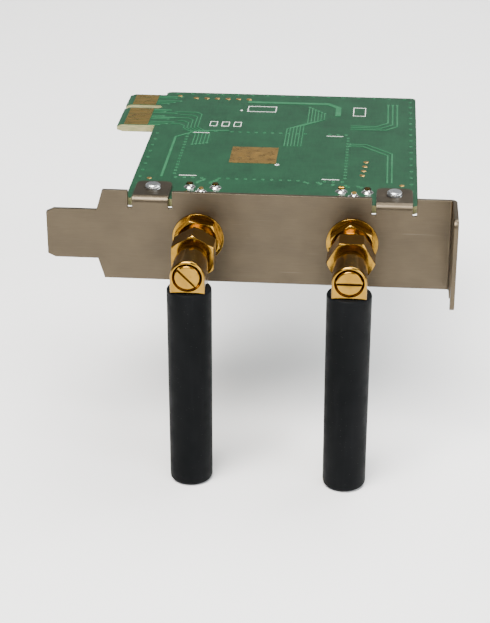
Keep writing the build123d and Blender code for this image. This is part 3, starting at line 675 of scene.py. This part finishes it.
def sleeve(side):
    """The tapered moulded sleeve, with its rounded lip and tip and two mould parting lines."""
    node = f"sleeve_{side}"
    tip, top, bore = 4.12, 4.21, 2.9
    tip_round, lip_round, chamfer, end_wall = 0.8, 0.45, 0.25, 2.0
    gate_radius, gate_depth = 0.9, 0.1
    straight = SLEEVE_TOP - SLEEVE_TIP - tip_round - lip_round
    outside = [(gate_radius, SLEEVE_TIP + gate_depth), (gate_radius + 0.1, SLEEVE_TIP),
               (tip - tip_round, SLEEVE_TIP)]
    outside += arc((tip - tip_round, SLEEVE_TIP + tip_round), tip_round, -90, 0, 8)[1:]
    outside += [(tip + (top - tip) * t, SLEEVE_TIP + tip_round + straight * t)
                for t in [k / 24 for k in range(1, 25)]]
    outside += arc((top - lip_round, SLEEVE_TOP - lip_round), lip_round, 0, 90, 6)[1:]
    inside = [(bore + chamfer, SLEEVE_TOP), (bore, SLEEVE_TOP - chamfer), (bore, SLEEVE_TIP + end_wall),
              (0, SLEEVE_TIP + end_wall), (0, SLEEVE_TIP + gate_depth)]

    def parting(turn, radius, along):
        """The height of the two mould lines, which run along the outside at the left and the right."""
        line_half, line_height, outside_from = 0.22, 0.035, 3.5
        offset = abs(math.sin(turn)) * radius
        ridge = max(0.0, 1.0 - offset / line_half)
        return line_height * ridge * ridge if radius > outside_from else 0.0

    shape = lathe(outside + inside, (JACK_X[side], ANTENNA_Y, 0), "Z", 288, parting)
    new_piece(f"moulded_sleeve_{side}", shape, BODY_OF[node], "sleeve_black", (node,))


# --- circuit board detail ------------------------------------------------------------------

COPPER = 0.035
INK = 0.055
SHARPEST_MITRE = 0.3


def band(points, width, base, height):
    """A flat strip of copper or ink along a path, mitred at its corners. A negative height hangs down."""
    shape = bmesh.new()
    path = [Vector(p) for p in points]
    rows = []
    for i, point in enumerate(path):
        before = (point - path[i - 1]).normalized() if i else None
        after = (path[i + 1] - point).normalized() if i + 1 < len(path) else None
        ahead = ((before or after) + (after or before)).normalized()
        across = Vector((-ahead.y, ahead.x))
        reach = width / 2 / max(SHARPEST_MITRE, abs(ahead.dot(after or before)))
        sides = [point + across * reach, point - across * reach]
        rows.append([shape.verts.new(Vector((p.x, p.y, z)) * MM)
                     for z in (base, base + height) for p in sides])
    for a, b in zip(rows, rows[1:]):
        for j, k in ((0, 1), (1, 3), (3, 2), (2, 0)):
            shape.faces.new((a[j], b[j], b[k], a[k]))
    for end in (rows[0], rows[-1]):
        shape.faces.new([end[j] for j in (0, 1, 3, 2)])
    bmesh.ops.recalc_face_normals(shape, faces=shape.faces)
    return shape


def plate(x, y, size_x, size_y, base, height):
    """A small flat pad centred at x, y."""
    low, high = sorted((base, base + height))
    return box_shape((x - size_x / 2, y - size_y / 2, low), (x + size_x / 2, y + size_y / 2, high))


def ring(x, y, inner, outer, base, height, segments=18):
    """A low ring with a rounded crest, such as a via's collar."""
    profile = [(inner, base), (outer, base), (outer * 0.92 + inner * 0.08, base + height * 0.8),
               ((outer + inner) / 2, base + height), (inner, base + height * 0.7)]
    return lathe(profile, (x, y, 0), "Z", segments)


def frame_line(low, high, width, base, height):
    """A thin rectangular outline."""
    (x0, y0), (x1, y1) = low, high
    half = width / 2
    return [band([(x0 - half, y0), (x1 + half, y0)], width, base, height),
            band([(x0 - half, y1), (x1 + half, y1)], width, base, height),
            band([(x0, y0 + half), (x0, y1 - half)], width, base, height),
            band([(x1, y0 + half), (x1, y1 - half)], width, base, height)]


def spaced(start, end, pitch):
    """Evenly spaced values from start to end, about a pitch apart."""
    count = max(1, round(abs(end - start) / pitch))
    return [start + (end - start) * i / count for i in range(count + 1)]


def finger_rows():
    """Where the contacts of the edge connector lie along Y."""
    return [51.4 + i for i in range(11)] + [64.95 + i for i in range(7)]


def via_places():
    """Ground vias round the board's edge, round the shield and beside the two radio lines."""
    places = []
    for x in spaced(-60.5, -9.0, 3.4):
        places.append((x, 73.4))
    for y in spaced(16.0, 71.5, 3.6):
        places.append((-7.7, y))
    for y in spaced(16.0, 46.0, 3.6):
        places.append((-61.7, y))
    off_shield = 1.1
    off_feed = 1.2
    for y in (SHIELD_LOW[1] - off_shield, SHIELD_HIGH[1] + off_shield):
        places += [(x, y) for x in spaced(-54.6, -21.4, 1.75)
                   if min(abs(x - feed_x) for feed_x in FEED_X.values()) > off_feed]
    for x in (SHIELD_LOW[0] - off_shield, SHIELD_HIGH[0] + off_shield):
        places += [(x, y) for y in spaced(22.0, 46.0, 1.7)]
    for name, end_x in FEED_X.items():
        start_x = JACK_X[name]
        for t in spaced(0.0, 1.0, 0.2):
            x = start_x + (end_x - start_x) * max(0.0, min(1.0, (t - 0.15) / 0.7))
            for side in (-1.3, 1.3):
                places.append((x + side, 17.2 + 2.0 * t))
    return places


SIGNAL = 0.22


def finger_tracks():
    """Short tracks behind most of the edge contacts, the same on either face."""
    routes = []
    for i, y in enumerate(finger_rows()):
        if i % 4 == 3:
            continue
        stop = -61.8 + 1.3 * (i % 3)
        routes.append(([(-64.4, y), (stop, y)], 0.3 if i % 5 else 0.6))
    return routes


def top_tracks():
    """Three bundles of signal tracks, two wide power tracks and two thin long ones."""
    routes = []
    for i in range(5):
        y = 52.4 + 2.0 * i
        x = -56.5 + 0.75 * i
        routes.append(([(-59.6 + 1.3 * (i % 2), y), (x - 1.2, y), (x, y - 1.2), (x, 49.6 + 0.2 * i),
                        (x + 3.0, 46.0 + 0.2 * i), (x + 3.0, 39.5 + 0.3 * i)], SIGNAL))
    for i in range(6):
        x = -34.2 + 0.7 * i
        far_x = -30.0 + 0.7 * i
        routes.append(([(x, 40.0), (x, 51.0 + 0.5 * i), (far_x, 55.2 + 0.5 * i), (far_x, 66.0 - 0.8 * i)],
                       SIGNAL))
    for i in range(3):
        y = 52.0 + 1.1 * i
        routes.append(([(-20.6, y), (-13.0 - i, y), (-10.6 - i, 54.4 + 1.1 * i), (-10.6 - i, 69.0)], 0.34))
    routes.append(([(-44.0, 68.6), (-26.0, 68.6), (-23.6, 66.2), (-23.6, 60.4)], 1.2))
    routes.append(([(-57.5, 20.0), (-57.5, 44.0), (-53.4, 48.1), (-46.5, 48.9)], 0.5))
    routes.append(([(-12.5, 20.0), (-12.5, 36.0), (-17.8, 41.3), (-20.4, 41.3)], 0.3))
    routes.append(([(-11.6, 20.0), (-11.6, 37.0), (-17.0, 42.4), (-20.4, 42.4)], 0.3))
    return routes


def underside_tracks():
    """Signal tracks by the small parts, wide power tracks and the two radio lines from the jacks."""
    routes = []
    for i in range(6):
        y = 51.5 + 1.9 * i
        x = -53.6 + 0.55 * i
        routes.append(([(-57.6, y), (-55.2 + 0.3 * i, y), (x, y - 1.6), (x, 47.4)], SIGNAL))
    for i in range(5):
        y = 51.0 + 1.8 * i
        far_y = 52.0 + 1.8 * i
        routes.append(([(-39.6, y), (-37.6, y), (-36.6, far_y), (-35.6, far_y)], SIGNAL))
    for i in range(4):
        x = -46.4 + 0.5 * i
        far_x = -44.4 + 0.7 * i
        routes.append(([(x, 58.6), (x, 60.6), (far_x, 62.6), (far_x, 64.9)], 0.2))
    for y in INDUCTOR_Y:
        routes.append(([(-25.4, y), (-22.8, y)], 1.6))
        routes.append(([(-33.4, y), (-30.6, y)], 1.4))
    routes.append(([(TANTALUM_X, 49.6), (TANTALUM_X, 53.4)], 1.8))
    routes.append(([(TANTALUM_X, 59.2), (TANTALUM_X, 63.8)], 1.8))
    routes.append(([(-11.4, 65.5), (-10.0, 66.9), (-10.0, 69.0)], 0.3))
    for name, end_x in FEED_X.items():
        start_x = JACK_X[name]
        routes.append(([(start_x, 15.6), (start_x, 16.6), (end_x, 19.2), (end_x, 23.4)], 0.62))
    return routes


def outline(centre, half_x, half_y, width, base, height):
    """A thin rectangular outline about a centre."""
    x, y = centre
    return frame_line((x - half_x, y - half_y), (x + half_x, y + half_y), width, base, height)


INK_LINE = 0.16
FINE_INK_LINE = 0.14


def top_legend():
    """Plain white outlines, the shield's corner marks and pin-one dots, with no lettering."""
    ink = (BOARD_TOP, INK)
    lines = frame_line((-43.6, 62.0), (-37.4, 65.6), INK_LINE, *ink)
    lines += frame_line((-20.2, 60.8), (-17.6, 66.4), INK_LINE, *ink)
    for x in (-51.0, -48.4, -45.8):
        lines += frame_line((x, 51.6), (x + 1.5, 54.4), FINE_INK_LINE, *ink)
    mark = 3.5
    for x in (SHIELD_LOW[0], SHIELD_HIGH[0] - mark):
        for y in (SHIELD_LOW[1], SHIELD_HIGH[1]):
            lines.append(band([(x, y), (x + mark, y)], INK_LINE, *ink))
    lines.append(ring(-45.0, 62.6, 0.0, 0.3, *ink))
    lines.append(ring(-34.9, 28.6, 0.25, 0.45, *ink))
    return lines


def underside_legend():
    """Plain white outlines round the parts, polarity bars and a pin-one dot, with no lettering."""
    ink = (BOARD_BOTTOM, -INK)
    lines = outline(MEMORY_CENTRE, 3.0, 3.4, INK_LINE, *ink)
    lines += frame_line((-18.9, 52.4), (-11.1, 59.7), INK_LINE, *ink)
    for y in INDUCTOR_Y:
        lines += outline((INDUCTOR_X, y), 3.1, 3.0, INK_LINE, *ink)
    for y in TANTALUM_Y:
        lines += outline((TANTALUM_X, y), 2.6, 1.9, INK_LINE, *ink)
        bar_x = TANTALUM_X - 3.1
        lines.append(band([(bar_x, y - 1.9), (bar_x, y + 1.9)], 0.3, *ink))
    lines += outline(LIGHT_CENTRE, 1.7, 1.1, FINE_INK_LINE, *ink)
    lines.append(ring(-53.0, 52.0, 0.0, 0.3, *ink))
    lines += frame_line((-60.2, 50.4), (-56.8, 62.2), FINE_INK_LINE, *ink)
    return lines


def tracks_and_outlines():
    """The copper under the mask and the white ink, on both faces of the board."""
    stagger = 0.015
    faces = (("top", BOARD_TOP, COPPER, top_tracks, top_legend),
             ("underside", BOARD_BOTTOM, -COPPER, underside_tracks, underside_legend))
    for face, base, height, own_tracks, legend in faces:
        routes = finger_tracks() + own_tracks()
        # heights are staggered over twenty steps, so that strips that cross seldom share a top face
        strips = [band(points, width, base, height * (1 + stagger * (i % 20)))
                  for i, (points, width) in enumerate(routes)]
        strips += [ring(*points[-1], 0.12, 0.34, base, height * 1.25)
                   for points, width in routes if width < 0.5]
        strips += [ring(x, y, 0.15, 0.36, base, height * 1.2) for x, y in via_places()]
        tracks = new_piece(f"board_tracks_{face}", join(strips), "card", "board_laminate")
        tracks.data.materials[0] = TRACK_FINISH.material
        ink = new_piece(f"board_outlines_{face}", join(legend()), "card", "board_laminate")
        ink.data.materials[0] = INK_FINISH.material


def gold_pads():
    """The chip's thermal vias and land, three round alignment marks and two rows of test pads."""
    via_pitch, land_side = 1.25, 9.6
    chip_x, chip_y = CHIP_CENTRE
    pads = [ring(chip_x + via_pitch * i, chip_y + via_pitch * j, 0.16, 0.40, BOARD_TOP, COPPER)
            for i in range(-3, 4) for j in range(-3, 4)]
    pads.append(plate(*CHIP_CENTRE, land_side, land_side, BOARD_TOP, COPPER * 0.8))
    for x, y in ((-59.8, 71.8), (-9.6, 19.0), (-59.8, 19.0)):
        pads.append(ring(x, y, 0.0, 0.5, BOARD_TOP, COPPER, 28))
    for i in range(6):
        pads.append(ring(-56.0 + 2.4 * i, 70.6, 0.0, 0.62, BOARD_TOP, COPPER, 28))
    for i in range(4):
        pads.append(ring(-17.5 + 0.2 * i, 24.0 + 2.6 * i, 0.0, 0.55, BOARD_TOP, COPPER, 28))
    new_piece("board_gold_pads_top", join(pads), "card", "contact_gold")


def land(x, y, size_x, size_y):
    """A soldered land on the board's underside."""
    return plate(x, y, size_x, size_y, BOARD_BOTTOM, -COPPER)


def soldered_lands():
    """The lands under the small parts, the inductors, the tantalums, the chips and the light."""
    light_x, light_y = LIGHT_CENTRE
    memory_x, memory_y = MEMORY_CENTRE
    lands = [land(x + side * 0.78, y, 0.62, 0.92) for x, y in SMALL_PLACES for side in (-1, 1)]
    lands += [land(INDUCTOR_X + side * 2.2, y, 1.3, 2.6) for y in INDUCTOR_Y for side in (-1, 1)]
    lands += [land(TANTALUM_X + side * 1.75, y, 1.1, 2.3) for y in TANTALUM_Y for side in (-1, 1)]
    lands += [land(memory_x + MEMORY_LEAD_PITCH * (i - 1.5), memory_y + side * 2.85, 0.6, 1.1)
              for i in range(4) for side in (-1, 1)]
    lands += [land(REGULATOR_X + REGULATOR_LEAD_PITCH * i, 53.3, 1.0, 1.3) for i in (-1, 0, 1)]
    lands.append(land(REGULATOR_X, 58.7, 3.4, 1.3))
    lands += [land(light_x + side * 1.0, light_y, 0.9, 1.3) for side in (-1, 1)]
    new_piece("soldered_lands", join(lands), "card", "solder")


def end_tab(x, y, half_x, half_y, low):
    """A flat metal tab on a part's end, from a height down to the board."""
    return box_shape((x - half_x, y - half_y, low), (x + half_x, y + half_y, BOARD_BOTTOM))


def component_end_tabs():
    """The metal ends of the tantalums, the status light and the inductors."""
    light_x, light_y = LIGHT_CENTRE
    tabs = [end_tab(TANTALUM_X + side * 1.79, y, 0.07, 1.1, 4.6) for y in TANTALUM_Y for side in (-1, 1)]
    tabs += [end_tab(light_x + side * 0.93, light_y, 0.12, 0.68, 4.9) for side in (-1, 1)]
    tabs += [end_tab(INDUCTOR_X + side * 2.33, y, 0.08, 1.1, 4.5) for y in INDUCTOR_Y for side in (-1, 1)]
    new_piece("component_end_tabs", soften(join(tabs), 0.03), "card", "lead_tin")


def polarity_bands():
    """The darker band at one end of each tantalum capacitor."""
    low_x, high_x, half_y = -16.45, -15.85, 1.41
    low_z, high_z = 3.73, 5.1
    bands = [box_shape((low_x, y - half_y, low_z), (high_x, y + half_y, high_z)) for y in TANTALUM_Y]
    stripe = new_piece("polarity_bands", soften(join(bands), 0.1), "card", "tantalum_resin")
    stripe.data.materials[0] = BAND_FINISH.material


def vertical_edges(shape, rise_mm):
    """The edges that climb by more than a rise."""
    return [e for e in shape.edges if abs(e.verts[0].co.z - e.verts[1].co.z) > rise_mm * MM]


def shield_lid():
    """The pressed lid: rounded folds, vent holes, clip dimples and a shallow pressed panel."""
    sheet = 0.25
    low = BOARD_BOTTOM - SHIELD_HEIGHT
    (x0, y0), (x1, y1) = SHIELD_LOW, SHIELD_HIGH
    middle = (x0 + x1) / 2

    def tray(inset, floor_z, top_z, corner, fold):
        """A block with rounded upright corners and a rounded floor edge."""
        shape = box_shape((x0 + inset, y0 + inset, floor_z), (x1 - inset, y1 - inset, top_z))
        bmesh.ops.bevel(shape, geom=vertical_edges(shape, 0.5), offset=corner * MM, segments=5,
                        profile=0.5, affect="EDGES")
        rim = [e for e in shape.edges if all(abs(v.co.z - floor_z * MM) < 1e-6 for v in e.verts)]
        bmesh.ops.bevel(shape, geom=rim, offset=fold * MM, segments=3, profile=0.5, affect="EDGES")
        return shape

    outer = tray(0.0, low, BOARD_BOTTOM - 0.3, 0.8, 0.3)
    inner = tray(sheet, low + sheet, BOARD_BOTTOM + 1, 0.55, 0.08)
    shape = combined(outer, inner, "DIFFERENCE")
    vent_radius, vent_pitch, vent_inset = 0.6, 3.2, 2.6
    vent = [(0, low - 1), (vent_radius, low - 1), (vent_radius, low + 1), (0, low + 1)]
    cutters = [lathe(vent, (middle + vent_pitch * i, y, 0), "Z", 28)
               for i in range(-4, 5) for y in (y0 + vent_inset, y1 - vent_inset)]
    shape = combined(shape, join(cutters), "DIFFERENCE")
    margin_x, margin_y, pressed = 5.0, 5.4, 0.07
    panel = box_shape((x0 + margin_x, y0 + margin_y, low - 0.5),
                      (x1 - margin_x, y1 - margin_y, low + pressed))
    bmesh.ops.bevel(panel, geom=vertical_edges(panel, 0.2), offset=1.6 * MM, segments=6, profile=0.5,
                    affect="EDGES")
    shape = combined(shape, panel, "DIFFERENCE")
    dimple_radius, dimple_sunk, dimple_pitch, dimple_rise = 0.5, 0.36, 4.2, 1.7
    dimples = []
    for i in range(-3, 4):
        for y, outward in ((y0, -1), (y1, 1)):
            centre = Vector((middle + dimple_pitch * i, y - outward * dimple_sunk, low + dimple_rise))
            dimple = bmesh.new()
            bmesh.ops.create_uvsphere(dimple, u_segments=16, v_segments=10, radius=dimple_radius * MM)
            for v in dimple.verts:
                v.co += centre * MM
            dimples.append(dimple)
    shape = combined(shape, join(dimples), "UNION")
    new_piece("shield_cover", shape, "card", "shield_tin", ("shield_lid",))


def marked_chips():
    """The moulded packages, with a round moulding mark by their first lead."""
    mouth, floor, depth = 0.32, 0.27, 0.06
    for node, x, y, low in (("memory_chip", -50.8, 54.7, 4.19), ("regulator", -17.4, 55.0, 4.04)):
        shape = soften(cad_shape(node), 0.05)
        profile = [(0, low - 0.2), (mouth, low - 0.2), (floor, low + depth), (0, low + depth)]
        mark = lathe(profile, (x, y, 0), "Z", 24)
        new_piece(f"{node}_finished", combined(shape, mark, "DIFFERENCE"), "card", "chip_plastic", (node,))


def inductors():
    """Shielded inductors: a square ferrite case with the ring gap round its core."""
    shape = soften(cad_shape("inductors"), 0.14)
    low = BOARD_BOTTOM - INDUCTOR_HEIGHT
    core, gap_edge, depth = 1.62, 1.84, 0.3
    profile = [(core, low - 0.2), (gap_edge, low - 0.2), (gap_edge, low + depth), (core, low + depth)]
    gaps = [lathe(profile, (INDUCTOR_X, y, 0), "Z", 48) for y in INDUCTOR_Y]
    new_piece("inductor_cases", combined(shape, join(gaps), "DIFFERENCE"), "card", "ferrite", ("inductors",))


for side_name in JACK_X:
    jack_body(side_name)
    coupling_nut(side_name)
    elbow_cap(side_name)
    elbow_body(side_name)
    sleeve(side_name)
card_screws()
solder_joints()
tracks_and_outlines()
gold_pads()
soldered_lands()
component_end_tabs()
polarity_bands()
shield_lid()
marked_chips()
inductors()
for node_name, radius in (("bracket", 0.07), ("board", 0.04), ("jack_nuts", 0.08), ("lock_washers", 0.06),
                          ("tantalum_capacitors", 0.12), ("ceramic_capacitors", 0.06),
                          ("small_terminals", 0.05), ("resistors", 0.03), ("crystal", 0.12),
                          ("status_light", 0.1), ("chip_leads", 0.03)):
    softened(node_name, radius)

# --- floor, light and camera ---------------------------------------------------------------

FLOOR_HALF = 2.5
FLOOR_DROP_MM = 0.1
SKY_STRENGTH = 0.95
LIGHT_TARGET = Vector((-0.039, 0.01, -0.01))
LIGHTS = (
    # name, place, size, power, tint
    ("key", (-0.20, -0.38, 0.78), 0.55, 26.0, (1.0, 0.97, 0.93)),
    ("fill", (0.60, -0.55, 0.35), 0.60, 9.0, (0.95, 0.97, 1.0)),
    ("back", (0.25, 0.42, 0.80), 0.60, 12.0, (1.0, 1.0, 1.0)),
)


def studio_floor():
    """A pale floor just under the card, see-through from below."""
    floor_mesh = bpy.data.meshes.new("floor")
    shape = bmesh.new()
    bmesh.ops.create_grid(shape, x_segments=1, y_segments=1, size=FLOOR_HALF)
    shape.to_mesh(floor_mesh)
    floor = bpy.data.objects.new("floor", floor_mesh)
    floor.location.z = CAD_BOX[0].z - FLOOR_DROP_MM * MM
    bpy.context.scene.collection.objects.link(floor)
    paint = Finish("floor_pale", 0.6)
    cloud = paint.span(paint.noise(60.0), 0.3, 0.7)
    paint.colour(paint.mix(cloud, (0.90, 0.90, 0.895), (0.875, 0.875, 0.87)))
    floor.data.materials.append(paint.material)
    clear = paint.node("ShaderNodeBsdfTransparent").outputs[0]
    below = paint.node("ShaderNodeNewGeometry").outputs["Backfacing"]
    either = paint.node("ShaderNodeMixShader", {0: below, 1: paint.shader.outputs[0], 2: clear})
    paint.tree.links.new(either.outputs[0], paint.tree.nodes["Material Output"].inputs["Surface"])


def studio_sky():
    """A soft grey surround, light at the horizon and below it, darker above and lighter overhead."""
    world = bpy.data.worlds.new("studio")
    world.use_nodes = True
    nodes = world.node_tree.nodes
    links = world.node_tree.links
    background = nodes["Background"]
    background.inputs["Strength"].default_value = SKY_STRENGTH
    ray = nodes.new("ShaderNodeTexCoord")
    ramp = nodes.new("ShaderNodeValToRGB")
    split = nodes.new("ShaderNodeSeparateXYZ")
    links.new(ray.outputs["Generated"], split.inputs["Vector"])
    links.new(split.outputs["Z"], ramp.inputs["Fac"])
    links.new(ramp.outputs["Color"], background.inputs["Color"])
    ramp.color_ramp.elements[0].color = (0.80, 0.82, 0.84, 1)
    ramp.color_ramp.elements[1].color = (0.62, 0.65, 0.68, 1)
    for place, level in ((0.12, 0.72), (0.32, 0.17), (0.72, 0.14)):
        ramp.color_ramp.elements.new(place).color = (level, level * 1.02, level * 1.04, 1)
    bpy.context.scene.world = world


def studio_lamps():
    """Three soft area lights aimed at the card."""
    for name, place, size, power, tint in LIGHTS:
        data = bpy.data.lights.new(name, "AREA")
        data.size = size
        data.energy = power
        data.color = tint
        lamp = bpy.data.objects.new(name, data)
        lamp.location = place
        lamp.rotation_euler = (LIGHT_TARGET - Vector(place)).to_track_quat("-Z", "Y").to_euler()
        bpy.context.scene.collection.objects.link(lamp)


CAMERA_PLACE = Vector((-0.01448, -0.29554, 0.12704))
CAMERA_AIM = Vector((-0.0390, 0.0, -0.0125))
CAMERA_UP = Vector((-0.01791, 0.19686, 0.98027))
CAMERA_LENS = 98.0


def photo_camera():
    """The camera at the photograph's place, turned to centre the card alone."""
    ahead = (CAMERA_AIM - CAMERA_PLACE).normalized()
    right = ahead.cross(CAMERA_UP).normalized()
    up = right.cross(ahead)
    turn = Matrix((right, up, -ahead)).transposed().to_4x4()
    data = bpy.data.cameras.new("camera")
    data.lens = CAMERA_LENS
    data.clip_start = 0.01
    data.clip_end = 20.0
    camera = bpy.data.objects.new("camera", data)
    camera.matrix_world = Matrix.Translation(CAMERA_PLACE) @ turn
    bpy.context.scene.collection.objects.link(camera)
    bpy.context.scene.camera = camera


studio_floor()
studio_sky()
studio_lamps()
photo_camera()
